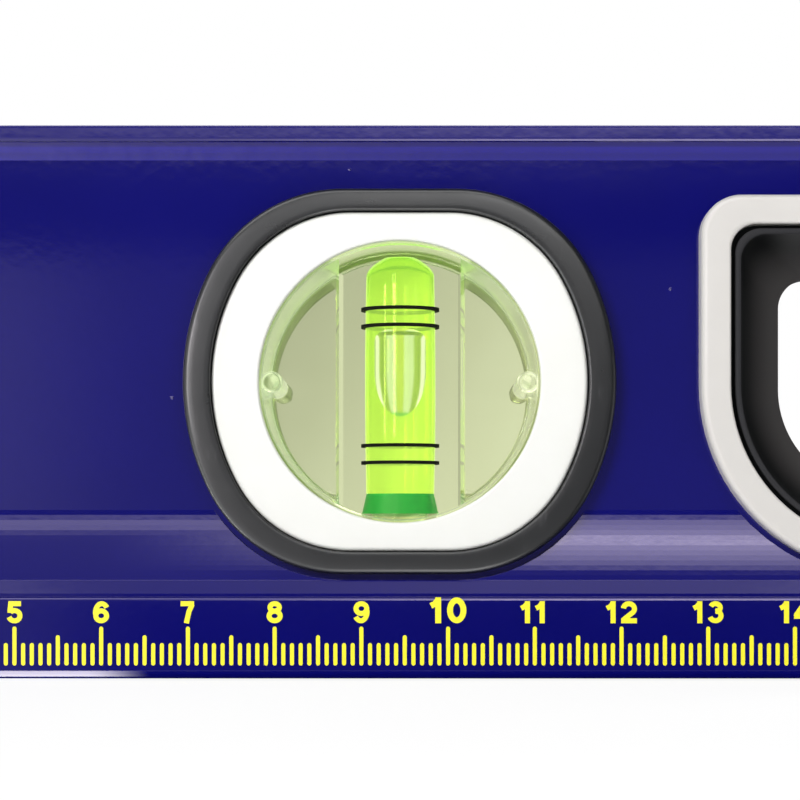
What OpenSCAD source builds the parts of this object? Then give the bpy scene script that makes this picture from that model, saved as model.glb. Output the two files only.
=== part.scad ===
// Magnetic spirit level: an extruded box beam with two plumb vials, a level vial,
// two hand grips, end caps and bar magnets let into the base.
// X runs along the beam, the front faces -Y, and the measuring base lies on Z = 0.

/* [Beam] */
// Length of the extruded beam, end face to end face
beam_len = 600; // [560:5:760]
// Height from the measuring base to the top edge
beam_h = 64; // [63:0.2:68]
// Width of the base rail and of the top flange
beam_w = 25; // [24:0.5:28]
// Height of the flat strip that carries the scale
rail_h = 9.5; // [9:0.1:9.8]
// Width of the narrow ledge above the scale strip
ledge_w = 0.5; // [0.3:0.1:0.8]
// Height of the riser above that ledge
ledge_h = 0.4; // [0.2:0.1:0.5]
// Depth of the bevel above the riser
bevel_w = 1.1; // [0.8:0.1:1.4]
// Height of the bevel above the riser
bevel_h = 1.5; // [1.2:0.1:1.6]
// Depth of the hollow sweep between the bevel and the web
sweep_w = 1.7; // [1.2:0.1:2]
// Height above the base where the sweep meets the web
sweep_top = 19.6; // [18.5:0.1:21]
// Radius of the hollow sweep
sweep_r = 33; // [26:1:60]
// Thickness of the top flange at its edge
flange_t = 2; // [1.7:0.1:2.4]
// Fillet between the web and the top flange
flange_fillet_r = 1.4; // [0.8:0.1:1.6]
// Thickness of the web wall
web_t = 2; // [1.4:0.1:2.4]
// Thickness of the base under the hollow
base_t = 7.2; // [6.6:0.1:9]
// Thickness of the top wall over the hollow
top_t = 2.4; // [2:0.1:3.2]
// Rounding of the lower edges of the base
base_edge_r = 1; // [0.4:0.1:1.2]
// Rounding of the upper edges of the top flange
top_edge_r = 0.4; // [0.3:0.1:1]
// Rounding of the rail's upper edges
small_edge_r = 0.4; // [0.2:0.05:0.45]
// Rounding of the flange's lower edges
flange_edge_r = 0.5; // [0.2:0.05:0.6]

/* [Plumb vials] */
// Distance of each plumb vial's axis from its end of the beam
plumb_from_end = 94.4; // [80:0.2:96]
// Height of the plumb vials' axis above the base
plumb_z = 34.5; // [34.2:0.1:35.5]
// Half width of the black bezel
bezel_hw = 25.2; // [24.9:0.05:26]
// Half height of the black bezel
bezel_hh = 22.4; // [22:0.05:22.6]
// Radius of the bezel's bulging sides
bezel_side_r = 28.6; // [27.5:0.1:32]
// Radius of the bezel's corners
bezel_corner_r = 17.5; // [16:0.1:18.5]
// Half width of the white carrier
carrier_hw = 21.9; // [21.2:0.05:22]
// Half height of the white carrier
carrier_hh = 19.7; // [19.5:0.05:19.9]
// Radius of the carrier's bulging sides
carrier_side_r = 24.8; // [24:0.1:28]
// Radius of the carrier's corners
carrier_corner_r = 15; // [13.5:0.1:16]
// Radius of the vial block
block_r = 16.9; // [16.5:0.05:17.4]
// Wall of the vial block's rim at its outer edge
rim_t = 0.8; // [0.6:0.1:1.2]
// Draft of the rim's inner wall, from its outer edge to the thin web
rim_draft = 0.3; // [0.1:0.1:0.6]
// Thickness of the thin web inside the vial block
block_web_t = 1.8; // [1.2:0.1:2.4]
// Width of the vial block's middle rib at its outer faces
rib_w = 14.2; // [13:0.1:15]
// Draft on each side of the rib, from its face to the middle plane
rib_draft = 0.8; // [0.2:0.05:0.9]
// Depth of the rib's faces below the rim
rib_drop = 0.3; // [0.1:0.05:0.6]
// Radius of the two round lugs inside the rim
lug_r = 1.3; // [0.8:0.05:1.5]
// Distance by which the lugs' axes stand inside the rim
lug_in = 1.1; // [0.4:0.1:1.4]
// Radius to which the carrier's lip covers the block
lip_r = 16.4; // [16.2:0.05:16.45]
// Thickness of the carrier's lip
lip_t = 0.8; // [0.5:0.05:1]
// Height of the vial chamber's closed end above the axis
plumb_top_z = 15.4; // [14.4:0.1:15.6]
// Height of the rounded cone that closes every chamber
cone_h = 2.2; // [1.6:0.1:2.6]
// Radius of that cone's flat tip
tip_r = 1.8; // [1.4:0.1:2.6]
// Length of the vial's stopper
stopper_len = 2.4; // [2:0.1:2.8]
// Depth of the stopper's outer face below the block's rim
stopper_set = 1.6; // [1.2:0.1:1.8]

/* [Vial chambers] */
// Radius of every vial chamber at its ends
bore_r = 4.05; // [3.8:0.05:4.3]
// Rise of the barrel-shaped chamber at its middle
barrel_rise = 0.15; // [0.1:0.01:0.2]
// Radius of the stopper's wide end
stopper_r = 4.6; // [4.3:0.05:4.8]
// Distance of the inner gauge rings from the vial's middle
ring_inner = 7.15; // [6.8:0.05:7.8]
// Distance of the outer gauge rings from the vial's middle
ring_outer = 9.2; // [8.8:0.05:9.8]
// Width of a gauge ring
ring_w = 0.4; // [0.3:0.05:0.6]
// Depth of a gauge ring in the wall of the chamber
ring_t = 0.5; // [0.25:0.05:0.6]
// Radius of the bubble
bubble_r = 3.1; // [2.6:0.05:3.4]
// Height of the plumb bubble's flat upper end
bubble_flat_h = 1.5; // [1:0.1:3]
// Length of the bubble
bubble_len = 10.2; // [9:0.1:13]
// Height of the plumb bubble above the vial's middle
plumb_bubble_z = 1.7; // [0:0.1:2]

/* [Level vial] */
// Half width of the notch for the level vial
notch_hw = 33; // [31:0.5:36]
// Depth of the notch below the top edge
notch_depth = 28.4; // [27:0.2:30]
// Radius of the notch's lower corners
notch_r = 9; // [7:0.5:11]
// Width of the level vial's black bezel around the notch
notch_bezel_w = 2.8; // [2.2:0.1:3.2]
// Wall of the level bezel's collar in the notch
notch_wall = 1.4; // [1.2:0.1:1.8]
// Half length of the level vial's block
long_block_hl = 25; // [24:0.5:27]
// Thickness of the block's blind end beyond the chamber's dome
long_end_t = 2.4; // [1.6:0.1:4]
// Height of the level vial's block
long_block_h = 14.4; // [13.8:0.1:15]
// Width of the level vial's block, front to back
long_block_w = 15; // [14:0.1:16]
// Depth of the level vial's axis below the top edge
level_drop = 13.4; // [12.6:0.1:14.2]
// Rim by which the white carrier laps the block's windows
window_lap = 1.2; // [0.8:0.1:1.6]
// Depth of the carrier's top below the top edge of the beam
carrier_top_drop = 0.4; // [0.2:0.1:0.8]

/* [Hand grips] */
// Distance of each grip frame from its end of the beam
grip_from_end = 129.4; // [128.4:0.2:132]
// Length of the grip frame
grip_len = 115; // [105:1:125]
// Height of the grip frame's lower edge above the base
grip_z0 = 11.9; // [11.8:0.1:12.6]
// Height of the grip frame's upper edge above the base
grip_z1 = 56.2; // [55.4:0.1:57]
// Radius of the frame's upper corners
grip_top_r = 4.7; // [4:0.1:6]
// Radius of the frame's lower corners
grip_low_r = 22.2; // [19:0.2:23]
// Width of the pale frame
frame_w = 3.45; // [3.2:0.05:4]
// Wall of the frame's collar in the beam
frame_wall = 1.2; // [0.9:0.1:1.3]
// Radius of the frame's inner upper corners
frame_inner_r = 3; // [2:0.1:3.6]
// Width of the groove between the frame and the liner
groove_w = 0.5; // [0.4:0.05:0.8]
// Depth of that groove
groove_d = 1.5; // [1:0.1:1.8]
// Width of the liner's raised lip
lip_w = 0.7; // [0.5:0.05:1]
// Distance of the throat from the frame's ends
throat_side = 10.9; // [10:0.1:13]
// Distance of the throat from the frame's upper edge
throat_top = 8.5; // [7.5:0.1:9.5]
// Distance of the throat from the frame's lower edge
throat_low = 10.2; // [9:0.1:11.5]
// Radius of the throat's upper corners
throat_top_r = 3.6; // [2:0.1:4]
// Radius of the throat's lower corners
throat_low_r = 12.2; // [10:0.1:12.6]
// Half thickness of the throat's inner edge
throat_edge = 0.9; // [0.5:0.1:1.5]

/* [Trim] */
// Depth of the liner's lip below the frame's face
lip_drop = 0.2; // [0.1:0.05:0.4]
// Depth of the bezels' and frames' faces below the beam's side planes
trim_drop = 0.9; // [0.6:0.1:1.2]
// Depth of the carriers' faces below the bezels' faces
carrier_drop = 0.6; // [0.3:0.1:0.9]
// Chamfer on the outer edge of the bezels and frames
trim_chamfer = 0.5; // [0.3:0.05:0.7]
// Wall of the bezels' collars
collar_t = 1.4; // [1:0.1:1.6]
// Room around the bezels and frames where they are let into the sweep
pocket_gap = 0.7; // [0.3:0.1:0.9]

/* [End caps] */
// Thickness of the caps outside the beam
cap_t = 4; // [3:0.5:6]
// Distance that the caps stay inside the beam's outline
cap_inset = 0.3; // [0.2:0.1:0.8]
// Rounding of the caps' corners
cap_corner_r = 3.5; // [2.5:0.5:5]
// Chamfer on the caps' outer edges
cap_chamfer = 1.2; // [0.6:0.1:1.6]
// Length of the plug inside the beam
plug_len = 14; // [10:1:20]
// Wall of the plug
plug_t = 1.8; // [1.4:0.1:2.2]

/* [Magnets] */
// Length of a bar magnet
magnet_len = 40; // [30:1:50]
// Width of a bar magnet
magnet_w = 8; // [6:0.5:10]
// Thickness of a bar magnet
magnet_t = 4.5; // [3.5:0.1:4.7]
// Distance of the inner magnets from the beam's middle
magnet_inner_x = 85; // [70:5:100]
// Distance of the outer magnets from the beam's ends
magnet_from_end = 70; // [60:5:90]
// Depth of the magnets' faces below the base
magnet_set = 0.1; // [0.05:0.05:0.2]

/* [Hidden] */

$fn = 96;
// Clearances: a close fit, a sliding fit, and the room left in the beam's cut-outs
close_fit = 0.03;
slide_fit = 0.1;
cutout_fit = 0.15;
// How far a cutting shape runs past the face that it cuts, and past an open top
over = 1;
open_over = 3;
// Part of a fit that lies on one side of a piece
half_fit = slide_fit / 2;
// Depth by which a collar runs into the face that it carries
root = 0.5;
// Steps in the arcs of the outlines, of small edges and of the chambers' cones
arc_steps = 14;
corner_steps = 10;
edge_steps = 4;
cone_steps = 6;

// Half widths and heights that follow from the beam's section
face_y = beam_w / 2;
shoulder_y = face_y - ledge_w - bevel_w;
web_y = shoulder_y - sweep_w;
shoulder_z = rail_h + ledge_h + bevel_h;
flange_z = beam_h - flange_t;
hollow_y = web_y - web_t;
hollow_z1 = beam_h - top_t;
hollow_r = 1.5;
level_z = beam_h - level_drop;
notch_z = beam_h - notch_depth;

// Depths of the trim's faces from the beam's middle plane
bezel_y = face_y - trim_drop;
carrier_y = bezel_y - carrier_drop;
block_y = carrier_y - lip_t - half_fit;
rib_y = block_y - rib_drop;
halves_gap = 0.1;

// Vials
plumb_x = beam_len / 2 - plumb_from_end;
// The bubble breaks through the liquid's wall by this much, so it lies against the chamber
bubble_press = 0.25;
bubble_offset = bore_r + barrel_rise + bubble_press - bubble_r;
seat_r = block_r + slide_fit;
lug_x = block_r - rim_t - lug_in;
stopper_in_z = -block_r + stopper_set + stopper_len;
long_block_z0 = level_z - long_block_h / 2;
long_block_z1 = level_z + long_block_h / 2;
long_stopper_set = 0.8;
long_stopper_in = -long_block_hl + long_stopper_set + stopper_len;
long_top = long_block_hl - long_end_t;
window_r = 1.5;
trim_r = 1;

// Grips
grip_x = beam_len / 2 - grip_from_end;
liner_inset = frame_w + groove_w;
hole_inset = frame_w - frame_wall - cutout_fit;
liner_y = bezel_y - lip_drop;
// Depth of the groove's floor, which is the liner's flange
groove_y = bezel_y - groove_d;
// The liner's funnel: how many rings it has, and how sharply it turns in towards the throat
funnel_steps = 5;
funnel_power = 1.5;
magnet_outer_x = beam_len / 2 - magnet_from_end;
// How sharply the chamber's shoulder turns into its cone
shoulder_power = 1.85;

paint = "#1c1c78";
black = "#2b2b2e";
white = "#fbfbf6";
pale = "#e6e4df";
clear = [0.8, 0.86, 0.66, 0.45];
green = [0.72, 0.93, 0.24, 0.8];
stopper_green = "#2fae4c";

// Points of an arc about c in n steps
function arc(c, r, a0, a1, n) =
    [for (i = [0:n]) c + r * [cos(a0 + (a1 - a0) * i / n), sin(a0 + (a1 - a0) * i / n)]];

// Points of an arc of radius r from p to q, hollow on the right of that way
function arc_between(p, q, r, n) =
    let (m = (p + q) / 2, d = q - p, l = norm(d),
        c = m + [d[1], -d[0]] / l * sqrt(r * r - l * l / 4),
        a0 = atan2(p[1] - c[1], p[0] - c[0]), a1 = atan2(q[1] - c[1], q[0] - c[0]),
        turn = (a1 - a0) - 360 * round((a1 - a0) / 360))
    [for (i = [0:n]) c + r * [cos(a0 + turn * i / n), sin(a0 + turn * i / n)]];

// The same points on the other side of the second axis, run backwards
function mirrored(p) = [for (i = [len(p) - 1:-1:0]) [-p[i][0], p[i][1]]];

// Oval with bulging sides of radius side_r, tangent corners and flat ends; grow offsets it
function bulged(hw, hh, side_r, corner_r, grow = 0) =
    let (c = hw - side_r,
        p = hh - corner_r,
        b = c + sqrt(pow(side_r - corner_r, 2) - p * p),
        a = atan2(p, b - c),
        quarter = concat(
            arc([c, 0], side_r + grow, 0, a, corner_steps),
            [for (i = [1:corner_steps])
                [b, p] + (corner_r + grow)
                    * [cos(a + (90 - a) * i / corner_steps), sin(a + (90 - a) * i / corner_steps)]]),
        half = concat(quarter, mirrored(quarter)),
        n = len(half))
    concat(half, [for (i = [1:n - 2]) [half[n - 1 - i][0], -half[n - 1 - i][1]]]);

// Box with two lower and two upper corner radii
function round_box(x0, x1, z0, z1, low_r, top_r) = concat(
    arc([x1 - low_r, z0 + low_r], low_r, -90, 0, arc_steps),
    arc([x1 - top_r, z1 - top_r], top_r, 0, 90, arc_steps),
    arc([x0 + top_r, z1 - top_r], top_r, 90, 180, arc_steps),
    arc([x0 + low_r, z0 + low_r], low_r, 180, 270, arc_steps));

// Outline of the left grip: the frame's own outline when every inset is 0
function grip_outline(side, top, low, low_r, top_r) =
    round_box(-grip_x + side, -grip_x + grip_len - side, grip_z0 + low, grip_z1 - top, low_r, top_r);

function even_grip(inset) = grip_outline(inset, inset, inset, grip_low_r - inset,
    inset < frame_w ? max(grip_top_r - inset, frame_inner_r * inset / frame_w) : frame_inner_r);

// Half of the level bezel's and the notch's outline family, grown by g
function notch_outline(g, z1) = round_box(-notch_hw - g, notch_hw + g, notch_z - g, z1, notch_r + g, trim_r);

// Outline points set at depth y, for a loft
function at_y(p, y) = [for (q = p) [q[0], y, q[1]]];

// Solid through rings of points, each ring deeper along +Y than the one before
module loft(rings) {
    n = len(rings[0]);
    m = len(rings);
    polyhedron(
        points = [for (r = rings) each r],
        faces = concat(
            [[for (i = [n - 1:-1:0]) i]],
            [[for (i = [0:n - 1]) (m - 1) * n + i]],
            [for (j = [0:m - 2], i = [0:n - 1]) each let (k = (i + 1) % n)
                [[j * n + i, j * n + k, (j + 1) * n + k],
                [j * n + i, (j + 1) * n + k, (j + 1) * n + i]]]));
}

// Extrudes an outline drawn in X and Z from depth y0 to y1
module slab(y0, y1) {
    translate([0, y1, 0])
        rotate([90, 0, 0])
            linear_extrude(y1 - y0)
                children();
}

// Round bar along Y
module round_y(r, y0, y1) {
    translate([0, y1, 0])
        rotate([90, 0, 0])
            cylinder(r = r, h = y1 - y0);
}

module rear(is_rear) {
    mirror([0, is_rear ? 1 : 0, 0])
        children();
}

module right(is_right) {
    mirror([is_right ? 1 : 0, 0, 0])
        children();
}

// Beam

function beam_side() = concat(
    arc([face_y - base_edge_r, base_edge_r], base_edge_r, -90, 0, edge_steps),
    arc([face_y - small_edge_r, rail_h - small_edge_r], small_edge_r, 0, 90, edge_steps),
    [[face_y - ledge_w, rail_h], [face_y - ledge_w, rail_h + ledge_h]],
    arc_between([shoulder_y, shoulder_z], [web_y, sweep_top], sweep_r, arc_steps),
    arc([web_y + flange_fillet_r, flange_z - flange_fillet_r], flange_fillet_r, 180, 90, edge_steps),
    arc([face_y - flange_edge_r, flange_z + flange_edge_r], flange_edge_r, -90, 0, edge_steps),
    arc([face_y - top_edge_r, beam_h - top_edge_r], top_edge_r, 0, 90, edge_steps));

module beam_profile() {
    side = beam_side();
    difference() {
        polygon(concat(side, mirrored(side)));
        polygon(round_box(-hollow_y, hollow_y, base_t, hollow_z1, hollow_r, hollow_r));
    }
}

// The cut-outs of one end: a plumb vial's hole, a grip's hole, and both trims' pockets
module end_cutouts() {
    translate([-plumb_x, 0, plumb_z]) {
        slab(-face_y - over, face_y + over)
            polygon(bulged(carrier_hw, carrier_hh, carrier_side_r, carrier_corner_r,
                slide_fit + collar_t + cutout_fit));
        for (s = [0, 1])
            rear(s == 1)
                slab(-face_y - over, -web_y)
                    polygon(bulged(bezel_hw, bezel_hh, bezel_side_r, bezel_corner_r, pocket_gap));
    }
    slab(-face_y - over, face_y + over)
        polygon(even_grip(hole_inset));
    for (s = [0, 1])
        rear(s == 1)
            slab(-face_y - over, -web_y)
                polygon(even_grip(-pocket_gap));
}

module beam() {
    color(paint)
        difference() {
            translate([-beam_len / 2, 0, 0])
                rotate([90, 0, 90])
                    linear_extrude(beam_len)
                        beam_profile();
            for (s = [0, 1])
                right(s == 1)
                    end_cutouts();
            slab(-face_y - over, face_y + over)
                polygon(notch_outline(0, beam_h + open_over));
            for (x = [-magnet_outer_x, -magnet_inner_x, magnet_inner_x, magnet_outer_x])
                translate([x, 0, 0])
                    magnet_bar(slide_fit, -over, magnet_set + magnet_t + slide_fit);
        }
}

// Magnets

module magnet_bar(grow, z0, z1) {
    translate([-magnet_len / 2 - grow, -magnet_w / 2 - grow, z0])
        cube([magnet_len + 2 * grow, magnet_w + 2 * grow, z1 - z0]);
}

module magnet(x) {
    color("silver")
        translate([x, 0, 0])
            magnet_bar(0, magnet_set, magnet_set + magnet_t);
}

// End caps

// The caps' outline, inset by i from the beam's outer box; drawn across the beam
function cap_outline(i) = round_box(-face_y + cap_inset + i, face_y - cap_inset - i,
    cap_inset + i, beam_h - cap_inset - i, cap_corner_r - i, cap_corner_r - i);

module end_cap() {
    plug_y = hollow_y - slide_fit;
    plug_z0 = base_t + slide_fit;
    plug_z1 = hollow_z1 - slide_fit;
    mid_z = (plug_z0 + plug_z1) / 2;
    // Height of each of the plug's two rooms, which lie between three walls
    room_h = (plug_z1 - plug_z0 - 3 * plug_t) / 2;
    color(black)
        translate([-beam_len / 2, 0, 0])
            union() {
                rotate([0, 0, -90])
                    loft([
                        at_y(cap_outline(cap_chamfer), -cap_t),
                        at_y(cap_outline(0), -cap_t + cap_chamfer),
                        at_y(cap_outline(0), 0)]);
                rotate([90, 0, 90])
                    translate([0, 0, -over])
                        linear_extrude(plug_len + over)
                            difference() {
                                polygon(round_box(-plug_y, plug_y, plug_z0, plug_z1,
                                    hollow_r, hollow_r));
                                for (s = [-1, 1])
                                    translate([0, mid_z + s * (room_h + plug_t) / 2])
                                        square([2 * (plug_y - plug_t), room_h], center = true);
                            }
            }
}

// Vial trim

// Plate of trim that lies on the web; small is its outline at the chamfered face
module trim_plate(full, small) {
    loft([
        at_y(small, -bezel_y),
        at_y(full, -bezel_y + trim_chamfer),
        at_y(full, -web_y)]);
}

module plumb_bezel() {
    color(black)
        difference() {
            union() {
                trim_plate(
                    bulged(bezel_hw, bezel_hh, bezel_side_r, bezel_corner_r),
                    bulged(bezel_hw, bezel_hh, bezel_side_r, bezel_corner_r, -trim_chamfer));
                slab(-web_y - root, -halves_gap)
                    polygon(bulged(carrier_hw, carrier_hh, carrier_side_r, carrier_corner_r,
                        slide_fit + collar_t));
            }
            slab(-face_y - over, over)
                polygon(bulged(carrier_hw, carrier_hh, carrier_side_r, carrier_corner_r, slide_fit));
        }
}

module plumb_carrier() {
    color(white)
        difference() {
            slab(-carrier_y, -halves_gap)
                polygon(bulged(carrier_hw, carrier_hh, carrier_side_r, carrier_corner_r));
            round_y(seat_r, -carrier_y + lip_t, over);
            round_y(lip_r, -carrier_y - over, over);
        }
}

// Vial chambers, drawn about Z with the coned end up

// Half outline of a barrel chamber that runs from z0 to its flat tip at z1, grown by grow
function chamber_outline(z0, z1, grow) =
    let (mid = (z0 + z1 - cone_h) / 2, half = (z1 - cone_h - z0) / 2)
    concat(
        [[0, z0 - grow]],
        [[bore_r + grow, z0 - grow]],
        [for (i = [1:arc_steps - 1]) let (t = -1 + 2 * i / arc_steps)
            [bore_r + grow + barrel_rise * (1 - t * t), mid + t * half]],
        [for (i = [0:cone_steps]) let (t = i / cone_steps)
            [bore_r + grow - (bore_r - tip_r) * pow(t, shoulder_power),
                z1 - cone_h + (cone_h + grow) * t]],
        [[0, z1 + grow]]);

module chamber(z0, z1, grow) {
    rotate_extrude()
        polygon(chamber_outline(z0, z1, grow));
}

// The stopper's tapered body, wide end down, with its inner face at z
module stopper_cone(z, grow) {
    translate([0, 0, z - stopper_len])
        cylinder(r1 = stopper_r + grow, r2 = bore_r + grow, h = stopper_len);
}

module ring_set(inner_grow, outer_grow) {
    for (z = [-ring_outer, -ring_inner, ring_inner, ring_outer])
        translate([0, 0, z - ring_w / 2 - outer_grow])
            difference() {
                cylinder(r = bore_r + barrel_rise + ring_t + outer_grow, h = ring_w + 2 * outer_grow);
                if (inner_grow > 0)
                    translate([0, 0, -over])
                        cylinder(r = bore_r + barrel_rise + inner_grow, h = ring_w + 2 * over);
            }
}

// Bubble along Z, pressed against the wall on the -Y side; end_h is the height of its upper end
module bubble(z, end_h) {
    straight = bubble_len - bubble_r - end_h;
    translate([0, -bubble_offset, z - bubble_len / 2 + bubble_r])
        rotate_extrude()
            polygon(concat(
                arc([0, 0], bubble_r, -90, 0, arc_steps),
                [for (i = [0:arc_steps]) let (a = 90 * i / arc_steps)
                    [bubble_r * cos(a), straight + end_h * sin(a)]]));
}

// Plumb vial

// The room inside the rim on the front side, narrower towards the web
module rim_hollow() {
    depth = block_y - block_web_t / 2;
    mouth_r = block_r - rim_t;
    translate([0, -block_web_t / 2, 0])
        rotate([90, 0, 0])
            cylinder(r1 = mouth_r - rim_draft, r2 = mouth_r + rim_draft * over / depth, h = depth + over);
}

module plumb_block() {
    color(clear)
        difference() {
            union() {
                difference() {
                    round_y(block_r, -block_y, block_y);
                    for (s = [0, 1])
                        rear(s == 1)
                            rim_hollow();
                }
                intersection() {
                    translate([0, 0, -block_r])
                        linear_extrude(2 * block_r)
                            polygon([
                                [-rib_w / 2, -rib_y], [rib_w / 2, -rib_y],
                                [rib_w / 2 + rib_draft, 0], [rib_w / 2, rib_y],
                                [-rib_w / 2, rib_y], [-rib_w / 2 - rib_draft, 0]]);
                    round_y(block_r - rim_t / 2, -block_y, block_y);
                }
                for (s = [-1, 1])
                    translate([s * lug_x, 0, 0])
                        round_y(lug_r, -rib_y, rib_y);
            }
            chamber(stopper_in_z, plumb_top_z, 0);
            stopper_cone(stopper_in_z, close_fit);
            translate([0, 0, -block_r - over])
                cylinder(r = stopper_r + close_fit, h = stopper_set + over);
            ring_set(0, close_fit);
        }
}

module plumb_liquid() {
    color(green)
        difference() {
            chamber(stopper_in_z, plumb_top_z, -close_fit);
            bubble(plumb_bubble_z, bubble_flat_h);
        }
}

module plumb_stopper() {
    color(stopper_green)
        stopper_cone(stopper_in_z, 0);
}

module gauge_rings() {
    color("black")
        ring_set(close_fit, 0);
}

// Level vial

// Turns a chamber that stands on Z to lie along X, with its bubble side up
module lying() {
    translate([0, 0, level_z])
        rotate([0, -90, 0])
            rotate([0, 0, 90])
                children();
}

module level_bezel() {
    color(black)
        difference() {
            union() {
                trim_plate(
                    notch_outline(notch_bezel_w, flange_z - flange_fillet_r),
                    notch_outline(notch_bezel_w - trim_chamfer, flange_z - flange_fillet_r));
                slab(-bezel_y, -halves_gap)
                    polygon(notch_outline(-cutout_fit, beam_h - carrier_top_drop));
            }
            slab(-face_y - over, over)
                polygon(notch_outline(-cutout_fit - notch_wall, beam_h + open_over));
        }
}

module level_carrier() {
    inner = -cutout_fit - notch_wall - slide_fit;
    lap_hl = long_block_hl - window_lap;
    color(white)
        difference() {
            slab(-carrier_y, -halves_gap)
                polygon(notch_outline(inner, beam_h - carrier_top_drop));
            translate([-long_block_hl - slide_fit, -long_block_w / 2 - slide_fit,
                long_block_z0 - slide_fit])
                cube([2 * (long_block_hl + slide_fit), long_block_w,
                    long_block_h + 2 * slide_fit]);
            slab(-face_y - over, over)
                polygon(round_box(-lap_hl, lap_hl, long_block_z0 + window_lap,
                    long_block_z1 - window_lap, window_r, window_r));
            translate([-lap_hl, -long_block_w / 2 + window_lap, level_z])
                cube([2 * lap_hl, long_block_w, beam_h]);
        }
}

module level_block() {
    color(clear)
        difference() {
            translate([-long_block_hl, -long_block_w / 2, long_block_z0])
                cube([2 * long_block_hl, long_block_w, long_block_h]);
            lying() {
                chamber(long_stopper_in, long_top, 0);
                stopper_cone(long_stopper_in, close_fit);
                translate([0, 0, -long_block_hl - over])
                    cylinder(r = stopper_r + close_fit, h = long_stopper_set + over);
                ring_set(0, close_fit);
            }
        }
}

module level_liquid() {
    color(green)
        lying()
            difference() {
                chamber(long_stopper_in, long_top, -close_fit);
                bubble(0, bubble_r);
            }
}

module level_stopper() {
    color(stopper_green)
        lying()
            stopper_cone(long_stopper_in, 0);
}

// Hand grips

module grip_frame() {
    color(pale)
        difference() {
            union() {
                trim_plate(even_grip(0), even_grip(trim_chamfer));
                slab(-web_y - root, -halves_gap)
                    polygon(even_grip(hole_inset + cutout_fit));
            }
            slab(-face_y - over, over)
                polygon(even_grip(frame_w));
        }
}

// Outline of the liner's funnel at share t of the way from its lip to the throat
function funnel_outline(t) =
    let (s = pow(t, funnel_power), lip = liner_inset + lip_w)
    grip_outline(
        lip + (throat_side - lip) * s,
        lip + (throat_top - lip) * s,
        lip + (throat_low - lip) * s,
        (grip_low_r - lip) + (throat_low_r - grip_low_r + lip) * s,
        frame_inner_r + (throat_top_r - frame_inner_r) * s);

module grip_liner() {
    color(black)
        difference() {
            union() {
                slab(-groove_y, -halves_gap)
                    polygon(even_grip(frame_w + slide_fit));
                slab(-liner_y, -groove_y + root)
                    polygon(even_grip(liner_inset));
            }
            loft(concat(
                [at_y(funnel_outline(0), -liner_y - over)],
                [for (i = [0:funnel_steps]) let (t = i / funnel_steps)
                    at_y(funnel_outline(t), -liner_y + (liner_y - throat_edge) * t)],
                [at_y(funnel_outline(1), over)]));
        }
}

module place_plumb(is_right) {
    right(is_right)
        translate([-plumb_x, 0, plumb_z])
            children();
}

beam();
end_cap();  // left_end_cap
right(true) end_cap();  // right_end_cap
place_plumb(false) plumb_bezel();  // left_vial_bezel_front
place_plumb(false) rear(true) plumb_bezel();  // left_vial_bezel_rear
place_plumb(false) plumb_carrier();  // left_vial_carrier_front
place_plumb(false) rear(true) plumb_carrier();  // left_vial_carrier_rear
place_plumb(false) plumb_block();  // left_vial_block
place_plumb(false) plumb_liquid();  // left_vial_liquid
place_plumb(false) plumb_stopper();  // left_vial_stopper
place_plumb(false) gauge_rings();  // left_gauge_rings
place_plumb(true) plumb_bezel();  // right_vial_bezel_front
place_plumb(true) rear(true) plumb_bezel();  // right_vial_bezel_rear
place_plumb(true) plumb_carrier();  // right_vial_carrier_front
place_plumb(true) rear(true) plumb_carrier();  // right_vial_carrier_rear
place_plumb(true) plumb_block();  // right_vial_block
place_plumb(true) plumb_liquid();  // right_vial_liquid
place_plumb(true) plumb_stopper();  // right_vial_stopper
place_plumb(true) gauge_rings();  // right_gauge_rings
level_bezel();  // level_vial_bezel_front
rear(true) level_bezel();  // level_vial_bezel_rear
level_carrier();  // level_vial_carrier_front
rear(true) level_carrier();  // level_vial_carrier_rear
level_block();  // level_vial_block
level_liquid();  // level_vial_liquid
level_stopper();  // level_vial_stopper
lying() gauge_rings();  // level_gauge_rings
grip_frame();  // left_grip_frame_front
rear(true) grip_frame();  // left_grip_frame_rear
grip_liner();  // left_grip_liner_front
rear(true) grip_liner();  // left_grip_liner_rear
right(true) grip_frame();  // right_grip_frame_front
right(true) rear(true) grip_frame();  // right_grip_frame_rear
right(true) grip_liner();  // right_grip_liner_front
right(true) rear(true) grip_liner();  // right_grip_liner_rear
magnet(-magnet_outer_x);  // magnet_1
magnet(-magnet_inner_x);  // magnet_2
magnet(magnet_inner_x);  // magnet_3
magnet(magnet_outer_x);  // magnet_4
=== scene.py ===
# Magnetic spirit level: painted beam, moulded trim, vials, rubber grips and printed scale
import math

import bmesh
import bpy
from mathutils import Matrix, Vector


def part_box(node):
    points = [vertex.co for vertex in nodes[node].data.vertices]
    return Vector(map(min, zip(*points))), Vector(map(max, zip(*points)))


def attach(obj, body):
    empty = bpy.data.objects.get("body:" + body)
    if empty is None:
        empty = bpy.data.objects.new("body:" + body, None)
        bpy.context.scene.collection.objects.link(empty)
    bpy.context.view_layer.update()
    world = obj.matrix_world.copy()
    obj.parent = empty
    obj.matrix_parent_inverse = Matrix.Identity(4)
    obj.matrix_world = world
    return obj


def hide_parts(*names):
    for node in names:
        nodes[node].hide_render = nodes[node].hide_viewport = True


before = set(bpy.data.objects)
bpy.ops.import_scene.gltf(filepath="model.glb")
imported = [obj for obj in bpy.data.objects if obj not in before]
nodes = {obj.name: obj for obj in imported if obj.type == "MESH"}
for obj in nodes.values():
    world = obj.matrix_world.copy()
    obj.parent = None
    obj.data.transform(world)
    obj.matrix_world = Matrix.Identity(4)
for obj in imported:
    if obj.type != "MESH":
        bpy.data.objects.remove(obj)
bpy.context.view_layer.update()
print("frame loaded,", len(nodes), "nodes")

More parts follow.
